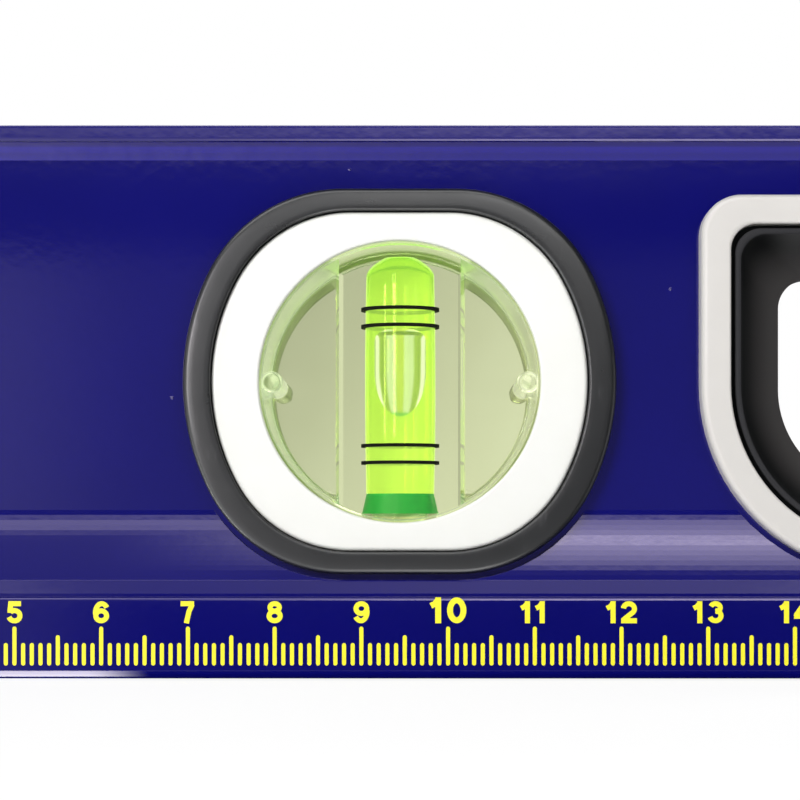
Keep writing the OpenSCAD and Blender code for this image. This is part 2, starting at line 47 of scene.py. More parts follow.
mm = 0.001  # pieces are worked out in millimetres and stored in metres
sides = {"left": 1, "right": -1}  # sign that mirrors the left end onto this one
halves = {"front": 1, "rear": -1}  # sign that mirrors the front half onto this one


# Shader maths: a wire is a socket that can be added, multiplied and so on

class Wire:
    def __init__(self, kit, socket):
        self.kit = kit
        self.socket = socket

    def calc(self, operation, first, second=0.0):
        return self.kit.node("ShaderNodeMath", {"operation": operation}, {0: first, 1: second})

    def __add__(self, other):
        return self.calc("ADD", self, other)

    __radd__ = __add__

    def __sub__(self, other):
        return self.calc("SUBTRACT", self, other)

    def __rsub__(self, other):
        return self.calc("SUBTRACT", other, self)

    def __mul__(self, other):
        return self.calc("MULTIPLY", self, other)

    __rmul__ = __mul__

    def __truediv__(self, other):
        return self.calc("DIVIDE", self, other)

    def __rtruediv__(self, other):
        return self.calc("DIVIDE", other, self)

    def __abs__(self):
        return self.calc("ABSOLUTE", self)

    def most(self, other):
        return self.calc("MAXIMUM", self, other)

    def sign(self):
        return self.calc("SIGN", self)

    def root(self):
        return self.calc("SQRT", self)

    def above(self, level):
        return self.calc("GREATER_THAN", self, level)

    def ease(self, low, high):  # 0 at low, 1 at high, smooth in between
        return self.kit.node("ShaderNodeMapRange", {"interpolation_type": "SMOOTHSTEP"},
                             {"Value": self, "From Min": low, "From Max": high})

    def between(self, low, high):  # low where the wire is 0, high where it is 1
        return self * (high - low) + low

    def band(self, low, high, soft):  # 1 between low and high, with soft ends
        return self.ease(low - soft, low + soft) * (1 - self.ease(high - soft, high + soft))


class Kit:
    def __init__(self, tree):
        self.tree = tree
        tree.nodes.clear()

    def node(self, kind, settings=None, inputs=None, output=0):
        made = self.tree.nodes.new(kind)
        for name, value in (settings or {}).items():
            if name == "stops":
                self.fillRamp(made.color_ramp, value)
            else:
                setattr(made, name, value)
        for name, value in (inputs or {}).items():
            socket = made.inputs[name]
            if isinstance(value, Wire):
                self.tree.links.new(value.socket, socket)
            elif isinstance(value, tuple):  # colour sockets have a fourth number
                socket.default_value = (*value, 1.0)[:len(socket.default_value)]
            else:
                socket.default_value = value
        if isinstance(output, tuple):
            return [Wire(self, made.outputs[name]) for name in output]
        return Wire(self, made.outputs[output]) if len(made.outputs) else None

    def fillRamp(self, ramp, stops):
        for element, (place, colour) in ((ramp.elements[0], stops[0]), (ramp.elements[1], stops[-1])):
            element.position = place
            element.color = (*colour, 1.0)
        for place, colour in stops[1:-1]:
            ramp.elements.new(place).color = (*colour, 1.0)

    def mix(self, factor, first, second, blend="MIX"):  # two colours
        return self.node("ShaderNodeMix", {"data_type": "RGBA", "blend_type": blend},
                         {0: factor, 6: first, 7: second}, 2)

    def noise(self, where, scale, detail=2.0, rough=0.5):
        return self.node("ShaderNodeTexNoise", {},
                         {"Vector": where, "Scale": scale, "Detail": detail, "Roughness": rough})

    def streaks(self, where, scales, detail=2.0, rough=0.5):  # noise with a scale for each axis
        stretched = self.node("ShaderNodeVectorMath", {"operation": "MULTIPLY"}, {0: where, 1: scales})
        return self.noise(stretched, 1.0, detail, rough)

    def clouded(self, cloud, first, second):  # two colours that drift into each other
        return self.mix(cloud.ease(0.3, 0.7), first, second)

    def rounded(self, radius):  # a normal that softens the edges
        return self.node("ShaderNodeBevel", {"samples": 4}, {"Radius": radius})

    def split(self, vector, axes):  # 0, 1 and 2 are X, Y and Z
        return self.node("ShaderNodeSeparateXYZ", {}, {0: vector}, axes)

    def bump(self, height, distance, normal=None):
        inputs = {"Height": height, "Distance": distance}
        if normal is not None:
            inputs["Normal"] = normal
        return self.node("ShaderNodeBump", {}, inputs)


def newMaterial(name):
    material = bpy.data.materials.new(name)
    material.use_nodes = True
    return material, Kit(material.node_tree)


# Entries of a look that are the same all over the surface, with the sockets that they are set on
evenSockets = {"transmission": "Transmission Weight", "ior": "IOR", "tint": "Specular Tint",
               "metallic": "Metallic", "specular": "Specular IOR Level", "glow": "Emission Color",
               "glowStrength": "Emission Strength"}


def newFinish(name, build, look):
    # build takes a kit, the place in the object and a look, and returns the sockets that vary
    material, kit = newMaterial(name)
    where = kit.node("ShaderNodeTexCoord", output="Object")
    sockets = {evenSockets[key]: value for key, value in look.items() if key in evenSockets}
    sockets.update(build(kit, where, look))
    if "grain" in look:  # fine bumps, on softened edges where the look has an edge
        softened = kit.rounded(look["edge"]) if "edge" in look else None
        sockets["Normal"] = kit.bump(kit.noise(where, *look["grain"]), look["grainHeight"], normal=softened)
    shader = kit.node("ShaderNodeBsdfPrincipled", {}, sockets)
    kit.node("ShaderNodeOutputMaterial", {}, {"Surface": shader})
    return material


# Finishes

paint = {"colours": ((0.0030, 0.0032, 0.138), (0.0026, 0.0030, 0.128)), "patchScale": 70.0,
         "roughness": (0.05, 0.09), "sheenScale": 30.0, "tint": (0.93, 0.82, 1.0), "edge": 0.00007,
         "peelScale": 900.0, "peelHeight": 4e-6, "waveScale": 260.0, "waveHeight": 4e-6,
         "speckScale": 190.0, "speckHeight": 9e-5, "speckEdge": (0.015, 0.045), "speckLimit": 0.8,
         "speckCover": 0.6, "speckColour": (0.07, 0.06, 0.19),
         "cornerLow": 0.0605, "cornerTop": 0.0620, "cornerDepth": 0.0121, "cornerSoft": 2e-5,
         "cornerTilt": 0.22, "cornerStreaks": (900.0, 500.0, 300.0), "cornerWander": 0.12,
         # painted light: lighter blues for the corner below the top flange, the second nearest the flange, to
         # brighten the flange's shadow
         "cornerColour": (0.006, 0.0068, 0.25), "cornerShade": (0.020, 0.018, 0.50),
         "shadeFrom": 0.0009, "shadeTo": 0.0001}


def paintFinish(kit, where, look):
    cell, cellColour = kit.node("ShaderNodeTexVoronoi", {}, {"Vector": where, "Scale": look["speckScale"]},
                                ("Distance", "Color"))
    chosen = kit.node("ShaderNodeSeparateColor", {}, {0: cellColour}).above(look["speckLimit"])
    speck = (1 - cell.ease(*look["speckEdge"])) * chosen
    # the paint lies thick in the corner below the top flange, which evens its hollow out to a slope; its
    # colour there is painted light, a lighter blue towards the flange
    y, z = kit.split(where, (1, 2))
    low, top, soft = look["cornerLow"], look["cornerTop"], look["cornerSoft"]
    corner = z.ease(low - soft, low + soft) * (1 - z.above(top + soft))
    corner = corner * (1 - abs(y).above(look["cornerDepth"]))
    wander = (kit.streaks(where, look["cornerStreaks"]) - 0.5) * look["cornerWander"]
    slope = kit.node("ShaderNodeCombineXYZ", {}, {"X": 0.0, "Y": y.sign(), "Z": wander - look["cornerTilt"]})
    sloped = kit.node("ShaderNodeVectorMath", {"operation": "NORMALIZE"}, {0: slope})
    evened = kit.node("ShaderNodeMix", {"data_type": "VECTOR"},
                      {0: corner, 4: kit.rounded(look["edge"]), 5: sloped}, 1)
    waves = kit.bump(kit.noise(where, look["waveScale"]), look["waveHeight"], normal=evened)
    peeled = kit.bump(kit.noise(where, look["peelScale"]), look["peelHeight"], normal=waves)
    # painted light: below the top flange the colour turns a lighter blue, lightest nearest the flange, to
    # brighten the flange's shadow
    shade = z.ease(top - look["shadeFrom"], top - look["shadeTo"])
    paintedCornerLight = kit.mix(shade, look["cornerColour"], look["cornerShade"])
    base = kit.mix(corner, kit.clouded(kit.noise(where, look["patchScale"], 4.0), *look["colours"]), paintedCornerLight)
    return {
        "Base Color": kit.mix(speck * look["speckCover"], base, look["speckColour"]),
        "Roughness": kit.noise(where, look["sheenScale"], 5.0).between(*look["roughness"]),
        "Normal": kit.bump(speck, look["speckHeight"], normal=peeled),
    }


blackPlastic = {"colour": (0.0095, 0.0100, 0.0112), "roughness": (0.24, 0.34), "sheenScale": 260.0,
                "scuffed": (0.040, 0.040, 0.043), "scuffs": (900.0, 900.0, 160.0), "scuffEdge": (0.56, 0.74),
                "scuffCover": 0.7, "scuffRoughness": 0.2, "patchScale": 110.0, "patchEdge": (0.5, 0.75),
                "grain": (5200.0, 3.0), "grainHeight": 4e-6, "edge": 0.00015}


def bezelFinish(kit, where, look):
    patches = kit.noise(where, look["patchScale"], 3.0).ease(*look["patchEdge"])
    scuffs = kit.streaks(where, look["scuffs"], 3.0, 0.7).ease(*look["scuffEdge"]) * patches
    sheen = kit.noise(where, look["sheenScale"], 3.0).between(*look["roughness"])
    return {
        "Base Color": kit.mix(scuffs * look["scuffCover"], look["colour"], look["scuffed"]),
        "Roughness": sheen + scuffs * look["scuffRoughness"],
    }


capPlastic = {"colours": ((0.020, 0.020, 0.022), (0.030, 0.030, 0.032)), "cloudScale": 90.0,
              "roughness": (0.42, 0.52), "grain": (3800.0, 3.0), "grainHeight": 1.2e-5, "edge": 0.0003}
whitePlastic = {"colours": ((0.87, 0.875, 0.845), (0.855, 0.86, 0.82)), "cloudScale": 120.0,
                "roughness": (0.32, 0.42), "sheenScale": 500.0, "grain": (4200.0, 2.0), "grainHeight": 2e-6,
                "edge": 0.00015}
# the stopper's glow is painted light, which makes it a brighter green than its lighting gives
stopperPlastic = {"colours": ((0.024, 0.50, 0.070), (0.018, 0.44, 0.060)), "cloudScale": 900.0,
                  "roughness": (0.35, 0.45), "glow": (0.026, 0.46, 0.10), "glowStrength": 0.30}
printInk = {"colours": ((0.96, 0.90, 0.020), (0.93, 0.86, 0.022)), "cloudScale": 1800.0,
            "cloudEnds": (0.35, 0.75), "roughness": (0.4, 0.5)}


def plainFinish(kit, where, look):
    cloud = kit.noise(where, look["cloudScale"], 3.0)
    sheen = kit.noise(where, look["sheenScale"], 3.0) if "sheenScale" in look else cloud
    return {
        "Base Color": kit.mix(cloud.ease(*look.get("cloudEnds", (0.3, 0.7))), *look["colours"]),
        "Roughness": sheen.between(*look["roughness"]),
    }


# painted shade: the frame's rounded edges and walls are given a darker olive colour than its face
palePlastic = {"colours": ((0.665, 0.645, 0.618), (0.64505, 0.62565, 0.59946)), "cloudScale": 140.0,
               "roughness": (0.40, 0.46), "edgeColour": (0.64, 0.63, 0.56), "edgeCover": 0.6,
               "edgeFrom": 0.0005, "edgeTo": 0.00008, "grain": (4600.0, 2.0), "grainHeight": 4e-6}


def frameFinish(kit, where, look):
    faceDepth = measured("left_grip_frame_front")[2] * mm
    # painted shade on the rounded edges and walls below the frame's face
    paintedShadeEdges = 1 - abs(kit.split(where, 1)).ease(faceDepth - look["edgeFrom"], faceDepth - look["edgeTo"])
    cloud = kit.noise(where, look["cloudScale"], 3.0).ease(0.3, 0.7)
    face = kit.mix(cloud, *look["colours"])
    return {
        "Base Color": kit.mix(paintedShadeEdges * look["edgeCover"], face, look["edgeColour"]),
        "Roughness": cloud.between(*look["roughness"]),
    }


# the grey deep in the hand hole is painted light in the rubber's colour
gripRubber = {"colours": ((0.0052, 0.0056, 0.0060), (0.0074, 0.0078, 0.0082)), "cloudScale": 80.0,
              "deep": (0.090, 0.085, 0.084), "deepCover": 0.8, "deepEnds": (0.0005, 0.0085),
              # the lip colour is a painted highlight
              "lip": (0.036, 0.036, 0.039), "lipFrom": 0.0005, "lipTo": 0.0001, "roughness": (0.52, 0.64),
              "specular": 0.03, "grain": (3000.0, 4.0, 0.6), "grainHeight": 9e-6}


def linerFinish(kit, where, look):
    cloud = kit.noise(where, look["cloudScale"], 3.0)
    depth = abs(kit.split(where, 1))
    # painted light: the rubber turns grey deep in the hand hole, towards the middle plane
    deep = (1 - depth.ease(*look["deepEnds"])) * look["deepCover"]
    lipDepth = measured("left_grip_liner_front")[2] * mm
    # painted highlight: the rubber is lighter along the lip
    lip = depth.ease(lipDepth - look["lipFrom"], lipDepth - look["lipTo"])
    funnel = kit.mix(deep, kit.clouded(cloud, *look["colours"]), look["deep"])
    return {"Base Color": kit.mix(lip, funnel, look["lip"]), "Roughness": cloud.between(*look["roughness"])}


acrylic = {"colours": ((0.70, 0.755, 0.455), (0.67, 0.72, 0.425)), "cloudScale": 70.0,
           "roughness": (0.015, 0.115), "scratches": (300.0, 300.0, 2600.0), "scratchEdge": (0.70, 0.76),
           "patchScale": 90.0, "patchEdge": (0.55, 0.7), "transmission": 0.995, "ior": 1.49,
           "tint": (0.6, 0.6, 0.6), "grain": (900.0, 2.0), "grainHeight": 1e-6}


def acrylicFinish(kit, where, look):
    scratch = kit.streaks(where, look["scratches"], 2.0, 0.8).ease(*look["scratchEdge"])
    lines = scratch * kit.noise(where, look["patchScale"]).ease(*look["patchEdge"])
    return {
        "Base Color": kit.clouded(kit.noise(where, look["cloudScale"]), *look["colours"]),
        "Roughness": lines.between(*look["roughness"]),
    }


# Of each pair of colours the second is for the side that the light comes through
rimLook = {"colours": ((0.66, 0.78, 0.40), (0.80, 0.86, 0.54)), "litEnds": (-0.004, 0.012),
           "faceGlow": ((0.048, 0.062, 0.028), (0.055, 0.062, 0.032)), "glowStrength": 0.6,
           "wallGlow": ((0.18, 0.20, 0.16), (0.165, 0.17, 0.13)), "wallEdge": (0.9, 0.99),
           "lugGlow": (0.035, 0.028, 0.042), "lugEdge": (0.0013, 0.0016), "cloudScale": 260.0,
           "roughness": (0.08, 0.18), "transmission": 0.86, "ior": 1.34, "tint": (0.6, 0.6, 0.6)}


def rimFinish(kit, where, look):
    # painted light: thin walls and lugs of the clear block glow pale and the colour is lighter, most at the
    # lower right, as if they gather light
    (middleX, middleZ), (reach, _), _ = measured("right_vial_block")
    x, z = kit.split(where, (0, 2))
    across = (abs(x) - middleX * mm) * x.sign()
    up = z - middleZ * mm
    lit = (across - up).ease(*look["litEnds"])
    facing = kit.split(kit.node("ShaderNodeTexCoord", output="Normal"), 1)
    inside = 1 - (across * across + up * up).root().above((reach - block["rimT"] / 2) * mm)
    wall = (1 - abs(facing).ease(*look["wallEdge"])) * inside
    fromLug = abs(across) - (reach - block["rimT"] - block["lugIn"]) * mm
    lug = 1 - (fromLug * fromLug + up * up).root().ease(*look["lugEdge"])
    # painted glow on the walls and lugs, brighter on the side the light comes through
    glow = kit.mix(wall, kit.mix(lit, *look["faceGlow"]), kit.mix(lit, *look["wallGlow"]))
    return {
        "Base Color": kit.mix(lit, *look["colours"]),
        "Roughness": kit.noise(where, look["cloudScale"]).between(*look["roughness"]),
        "Emission Color": kit.mix(lug, glow, look["lugGlow"], "ADD"),
    }


# The liquid's glow is painted light, given as pairs of a height and the colour there, darker towards the top
liquid = {"colours": ((0.74, 0.98, 0.11), (0.69, 0.97, 0.09)), "cloudScale": 200.0, "roughness": 0.01,
          "transmission": 0.92, "ior": 1.40, "tint": (0.3, 0.3, 0.3), "glowStrength": 0.4,
          "glows": [(0.022, (0.68, 0.97, 0.25)), (0.036, (0.60, 0.95, 0.22)), (0.045, (0.56, 0.93, 0.20)),
                    (0.050, (0.34, 0.76, 0.13))]}


def liquidFinish(kit, where, look):
    # painted light: the liquid glows, less towards the top
    low, high = look["glows"][0][0], look["glows"][-1][0]
    stops = [((z - low) / (high - low), colour) for z, colour in look["glows"]]
    height = (kit.split(where, 2) - low) / (high - low)
    return {
        "Base Color": kit.clouded(kit.noise(where, look["cloudScale"]), *look["colours"]),
        "Roughness": look["roughness"],
        "Emission Color": kit.node("ShaderNodeValToRGB", {"stops": stops}, {"Fac": height}),
    }


# Painted columns of light and reflection in the bubble, from its middle out to where its wall turns away
bubbleLook = {
    "columns": [(0.0, (0.118, 0.117, 0.071)), (0.12, (0.118, 0.117, 0.071)), (0.20, (0.155, 0.142, 0.41)),
                (0.46, (0.155, 0.142, 0.43)), (0.55, (0.055, 0.06, 0.045)), (0.66, (0.036, 0.042, 0.03)),
                (0.74, (0.06, 0.065, 0.05)), (0.80, (0.24, 0.18, 0.74)), (0.91, (0.24, 0.18, 0.74)),
                (0.955, (0.065, 0.04, 0.27)), (1.0, (0.065, 0.04, 0.27))],
    "wanders": (500.0, 500.0, 160.0), "wander": 0.1, "topLine": (0.0, 0.0, 0.0), "topEnds": (0.48, 0.82),
    "topSoft": 0.05, "topWidth": (0.5, 0.8), "bottom": (0.0, 0.075, 0.05), "bottomEnds": (0.72, 0.9),
    "glowStrength": 5.2, "wall": (0.03, 0.04, 0.02), "wallCover": 0.85, "roughness": 0.15,
}


def bubbleFinish(kit, where, look):
    # painted reflection: the liquid's wall round the air glows in upright columns as if it mirrored what is
    # beside it
    x, z = kit.split(kit.node("ShaderNodeTexCoord", output="Normal"), (0, 2))
    wander = (kit.streaks(where, look["wanders"]) - 0.5) * look["wander"]
    columns = kit.node("ShaderNodeValToRGB", {"stops": look["columns"]}, {"Fac": abs(x + wander)})
    # painted shade: a dark line near the top and a dark green at the bottom of the bubble
    line = z.band(*look["topEnds"], look["topSoft"]) * (1 - abs(x).ease(*look["topWidth"]))
    glow = kit.mix((0 - z).ease(*look["bottomEnds"]), kit.mix(line, columns, look["topLine"]), look["bottom"])
    return {
        "Base Color": kit.mix(look["wallCover"], glow, look["wall"]),
        "Roughness": look["roughness"],
        "Emission Color": glow,
    }


ringPlastic = {"colours": ((0.0015, 0.002, 0.001), (0.003, 0.004, 0.002)), "cloudScale": 1500.0,
               "roughness": (0.8, 0.9), "specular": 0.1}


def ringFinish(kit, where, look):
    cloud = kit.noise(where, look["cloudScale"])
    return {"Base Color": kit.mix(cloud, *look["colours"]), "Roughness": cloud.between(*look["roughness"])}


magnetPlating = {"colours": ((0.52, 0.51, 0.49), (0.64, 0.63, 0.60)), "brushing": (60.0, 2400.0, 2400.0),
                 "metallic": 1.0, "roughness": (0.2, 0.35), "brushHeight": 4e-6, "edge": 0.0003}


def magnetFinish(kit, where, look):
    brushed = kit.streaks(where, look["brushing"], 4.0, 0.6)
    return {
        "Base Color": kit.mix(brushed, *look["colours"]),
        "Roughness": brushed.between(*look["roughness"]),
        "Normal": kit.bump(brushed, look["brushHeight"], normal=kit.rounded(look["edge"])),
    }


# Meshes

def nodeBox(node):  # lowest and highest corner of a CAD node in millimetres
    low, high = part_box(node)
    return low / mm, high / mm


def measured(node):  # middle and half sizes in X and Z, and the depth of a CAD node's face
    low, high = nodeBox(node)
    depth = max(abs(low.y), abs(high.y))
    return ((low.x + high.x) / 2, (low.z + high.z) / 2), ((high.x - low.x) / 2, (high.z - low.z) / 2), depth


def newObject(name, data):
    made = bpy.data.objects.new(name, data)
    bpy.context.scene.collection.objects.link(made)
    return made


def makeMesh(name, points, faces, smoothAngle=35):
    mesh = bpy.data.meshes.new(name)
    mesh.from_pydata([Vector(p) * mm for p in points], [], faces)
    mesh.update()
    shaped = bmesh.new()
    shaped.from_mesh(mesh)
    bmesh.ops.recalc_face_normals(shaped, faces=shaped.faces)
    shaped.to_mesh(mesh)
    shaped.free()
    smooth(mesh, smoothAngle)
    return newObject(name, mesh)


def smooth(mesh, angle):
    mesh.polygons.foreach_set("use_smooth", [True] * len(mesh.polygons))
    mesh.set_sharp_from_angle(angle=math.radians(angle))


def settle(piece):  # applies the modifiers of a piece
    graph = bpy.context.evaluated_depsgraph_get()
    mesh = bpy.data.meshes.new_from_object(piece.evaluated_get(graph))
    piece.modifiers.clear()
    piece.data = mesh
    return piece


def carve(piece, tools, operation="DIFFERENCE"):
    for tool in tools:
        cut = piece.modifiers.new(tool.name, "BOOLEAN")
        cut.operation = operation
        cut.solver = "EXACT"
        cut.object = tool
    settle(piece)
    for tool in tools:
        bpy.data.objects.remove(tool)
    return piece


def dress(piece, material, slot, *replaced):
    level = piece.modifiers.new("level", "WEIGHTED_NORMAL")  # keeps large faces flat beside rounded edges
    level.keep_sharp = True
    settle(piece)
    piece.data.materials.clear()
    piece.data.materials.append(material)
    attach(piece, "root")
    if replaced:
        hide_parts(*replaced)
    return piece


def ringMesh(name, rings, closed=True, smoothAngle=35):
    # each ring of points is joined to the next, and the last to the first, or else both ends are filled
    count = len(rings[0])
    faces = []
    for j in range(len(rings) if closed else len(rings) - 1):
        first, second = j * count, (j + 1) % len(rings) * count
        for i in range(count):
            k = (i + 1) % count
            faces.append((first + i, first + k, second + k, second + i))
    if not closed:
        faces += [tuple(range(count)), tuple((len(rings) - 1) * count + i for i in range(count))]
    return makeMesh(name, [p for ring in rings for p in ring], faces, smoothAngle)


def ellipse(cx, cz, rx, rz, start, end, steps=14):
    angles = [math.radians(start + (end - start) * i / steps) for i in range(steps + 1)]
    return [(cx + rx * math.cos(a), cz + rz * math.sin(a)) for a in angles]


def arc(cx, cz, radius, start, end, steps):  # in X and Z, or as pairs of offset and depth round an edge
    return ellipse(cx, cz, radius, radius, start, end, steps)


def bulged(halfW, halfH, sideR, cornerR, grow=0.0, steps=40):
    # oval with bulging sides, tangent corners and flat ends, as points in X and Z
    c = halfW - sideR
    p = halfH - cornerR
    b = c + math.sqrt((sideR - cornerR) ** 2 - p * p)
    turn = math.degrees(math.atan2(p, b - c))
    quarter = arc(c, 0, sideR + grow, 0, turn, steps) + arc(b, p, cornerR + grow, turn, 90, steps)[1:]
    half = quarter + [(-x, z) for x, z in reversed(quarter)]
    return half + [(x, -z) for x, z in reversed(half[1:-1])]


def even(outline, count=224):
    # the same outline as points at even angles round its middle
    angles = [math.atan2(z, x) % (2 * math.pi) for x, z in outline]
    corners = sorted(zip(angles, outline))
    corners.append((corners[0][0] + 2 * math.pi, corners[0][1]))
    result = []
    k = 0
    for i in range(count):
        angle = 2 * math.pi * i / count
        while k < len(corners) - 2 and corners[k + 1][0] < angle:
            k += 1
        p0, p1 = corners[k][1], corners[k + 1][1]
        # where the ray at this angle meets the side from p0 to p1
        dx, dz = p1[0] - p0[0], p1[1] - p0[1]
        c, s = math.cos(angle), math.sin(angle)
        across = dx * s - dz * c
        t = (p0[1] * c - p0[0] * s) / across if abs(across) > 1e-12 else 0.0
        result.append((p0[0] + t * dx, p0[1] + t * dz))
    return result


def circle(radius, count=224):
    return [(radius * math.cos(2 * math.pi * i / count), radius * math.sin(2 * math.pi * i / count))
            for i in range(count)]


def roundBox(x0, x1, z0, z1, lowR, topR, steps=24):
    return (arc(x1 - lowR, z0 + lowR, lowR, -90, 0, steps) + arc(x1 - topR, z1 - topR, topR, 0, 90, steps)
            + arc(x0 + topR, z1 - topR, topR, 90, 180, steps)
            + arc(x0 + lowR, z0 + lowR, lowR, 180, 270, steps))


def placed(outline, depth, centre=(0, 0), flipX=1, flipY=1):
    # an outline in X and Z set at a depth below the front, mirrored to its side and half
    return [(flipX * (x + centre[0]), -flipY * depth, z + centre[1]) for x, z in outline]


# Trim round the plumb vials

bezel = {"sideR": 28.6, "cornerR": 17.5, "outerEdge": 0.7, "innerEdge": 0.25, "collar": 1.4, "fit": 0.1,
         "crown": 0.07, "crownSteps": 4, "crownTurn": 86}
carrier = {"sideR": 24.8, "cornerR": 15.0, "outerEdge": 0.5, "lipEdge": 0.3, "lipR": 16.4, "lipT": 0.8,
           "seatGap": 0.1}
webDepth = 9.2  # depth of the beam's web from its middle plane
halfDepth = 0.1  # depth at which the front and rear halves of the trim end


def buildPlumbTrim(side, half, materials):
    flip = halves[half]
    bezelNode = f"{side}_vial_bezel_{half}"
    carrierNode = f"{side}_vial_carrier_{half}"
    centre, bezelSize, faceDepth = measured(bezelNode)
    _, carrierSize, carrierDepth = measured(carrierNode)

    def oval(size, shape, grow, depth):
        outline = even(bulged(*size, shape["sideR"], shape["cornerR"], grow))
        return placed(outline, depth, centre, 1, flip)

    def outer(grow, depth):
        return oval(bezelSize, bezel, grow, depth)

    def inner(grow, depth):
        return oval(carrierSize, carrier, grow, depth)

    def disc(radius, depth):
        return placed(circle(radius), depth, centre, 1, flip)

    edge, lip = bezel["outerEdge"], bezel["innerEdge"]
    crownLow = faceDepth - bezel["crown"]
    outerRings = [outer(g, d) for g, d in arc(-edge, crownLow - edge, edge, 0, bezel["crownTurn"], 7)]
    innerRings = [inner(g, d) for g, d in arc(bezel["fit"] + lip, faceDepth - lip, lip, 90, 180, 4)]
    crown = []
    for i in range(1, bezel["crownSteps"]):
        t = i / bezel["crownSteps"]
        depth = crownLow + bezel["crown"] * (1 - (1 - t) ** 2)
        crown.append([(x0 + (x1 - x0) * t, -flip * depth, z0 + (z1 - z0) * t)
                      for (x0, _, z0), (x1, _, z1) in zip(outerRings[-1], innerRings[0])])
    rings = [outer(0, webDepth)] + outerRings + crown + innerRings
    collar = bezel["fit"] + bezel["collar"]
    rings += [inner(bezel["fit"], halfDepth), inner(collar, halfDepth), inner(collar, webDepth)]
    ring = ringMesh(f"{side}_bezel_{half}_moulding", rings)
    dress(ring, materials["bezel"], "bezel_plastic", bezelNode)

    edge, lip = carrier["outerEdge"], carrier["lipEdge"]
    seatR = measured(f"{side}_vial_block")[1][0] + carrier["seatGap"]
    lipDepth = carrierDepth - carrier["lipT"]
    rings = [inner(0, halfDepth)]
    rings += [inner(g, d) for g, d in arc(-edge, carrierDepth - edge, edge, 0, 90, 6)]
    rings += [disc(carrier["lipR"] - g, d) for g, d in arc(-lip, carrierDepth - lip, lip, 90, 0, 5)]
    rings += [disc(carrier["lipR"], lipDepth), disc(seatR, lipDepth), disc(seatR, halfDepth)]
    plate = ringMesh(f"{side}_carrier_{half}_moulding", rings)
    dress(plate, materials["carrier"], "white_plastic", carrierNode)


# Clear vial blocks, liquid and bubbles

vial = {"boreR": 4.05, "rise": 0.15, "tipR": 1.8, "coneH": 2.2, "power": 1.85, "top": 15.4, "stopperSet": 1.6,
        "stopperLen": 2.4, "stopperR": 4.6, "overlap": 0.03, "seatLap": 0.02, "over": 1.0, "steps": 96,
        "barrelSteps": 16, "coneSteps": 10}
block = {"rimT": 0.8, "rimDraft": 0.3, "webT": 1.8, "ribW": 14.2, "ribDraft": 0.8, "ribDrop": 0.3,
         "ribInset": 0.5, "lugR": 1.3, "lugIn": 1.1, "lugEdge": 0.5, "edge": 0.15, "floorFillet": 0.3,
         "steps": 160, "lugSteps": 40, "rimBand": 0.35, "lugBand": 0.05, "webBand": 0.01}
bubble = {"radius": 3.22, "blunt": 1.5, "bluntPower": 0.6, "round": 5.3, "length": 10.5, "rise": 1.6,
          "wall": 0.06, "steps": 72, "roundSteps": 16, "bluntSteps": 12}


def weld(piece, distance=1e-7):
    shaped = bmesh.new()
    shaped.from_mesh(piece.data)
    bmesh.ops.remove_doubles(shaped, verts=shaped.verts, dist=distance)
    bmesh.ops.dissolve_degenerate(shaped, dist=distance, edges=shaped.edges)
    bmesh.ops.recalc_face_normals(shaped, faces=shaped.faces)
    shaped.to_mesh(piece.data)
    shaped.free()
    return piece


def turned(name, profile, steps, turn, smoothAngle=35):
    # profile is (radius, height) pairs, turn maps (radius x, radius y, height) into place
    points, faces = [], []
    n = len(profile)
    for i in range(steps):
        a = 2 * math.pi * i / steps
        k = (i + 1) % steps
        points += [turn(r * math.cos(a), r * math.sin(a), h) for r, h in profile]
        faces += [(i * n + j, k * n + j, k * n + j + 1, i * n + j + 1) for j in range(n - 1)]
    piece = weld(makeMesh(name, points, faces))
    smooth(piece.data, smoothAngle)
    return piece


def chamberProfile(low, top, grow):
    # half outline of a barrel chamber with a coned end, from its stopper end up
    shoulder = top - vial["coneH"]
    profile = [(0, low - grow), (vial["boreR"] + grow, low - grow)]
    for i in range(1, vial["barrelSteps"]):
        t = -1 + 2 * i / vial["barrelSteps"]
        profile.append((vial["boreR"] + grow + vial["rise"] * (1 - t * t),
                        (low + shoulder) / 2 + t * (shoulder - low) / 2))
    width, depth = vial["boreR"] - vial["tipR"], vial["coneH"]
    for i in range(vial["coneSteps"] + 1):
        t = i / vial["coneSteps"]
        # rounded shoulder that runs out as a cone to the flat tip
        profile.append((vial["boreR"] + grow - width * t ** vial["power"], shoulder + (depth + grow) * t))
    profile.append((0, top + grow))
    return profile


def bubbleProfile():
    straight = bubble["length"] - bubble["blunt"] - bubble["round"]
    low = -bubble["length"] / 2 + bubble["round"]
    profile = []
    for i in range(bubble["roundSteps"] + 1):
        a = math.radians(-90 + 90 * i / bubble["roundSteps"])
        profile.append((bubble["radius"] * math.cos(a), low + bubble["round"] * math.sin(a)))
    for i in range(bubble["bluntSteps"] + 1):
        a = math.radians(90 * i / bubble["bluntSteps"])
        profile.append((bubble["radius"] * math.cos(a) ** bubble["bluntPower"],
                        low + straight + bubble["blunt"] * math.sin(a)))
    return profile


def addBubble(filling, turn):
    # the bubble is a closed pocket in the liquid, so its faces look inwards; gives back how many it has
    pocket = turned("pocket", bubbleProfile(), bubble["steps"], turn, 60)
    count = len(pocket.data.polygons)
    joined = bmesh.new()
    joined.from_mesh(pocket.data)
    bmesh.ops.reverse_faces(joined, faces=joined.faces)
    joined.from_mesh(filling.data)
    joined.to_mesh(filling.data)
    joined.free()
    smooth(filling.data, 50)
    bpy.data.objects.remove(pocket)
    return count


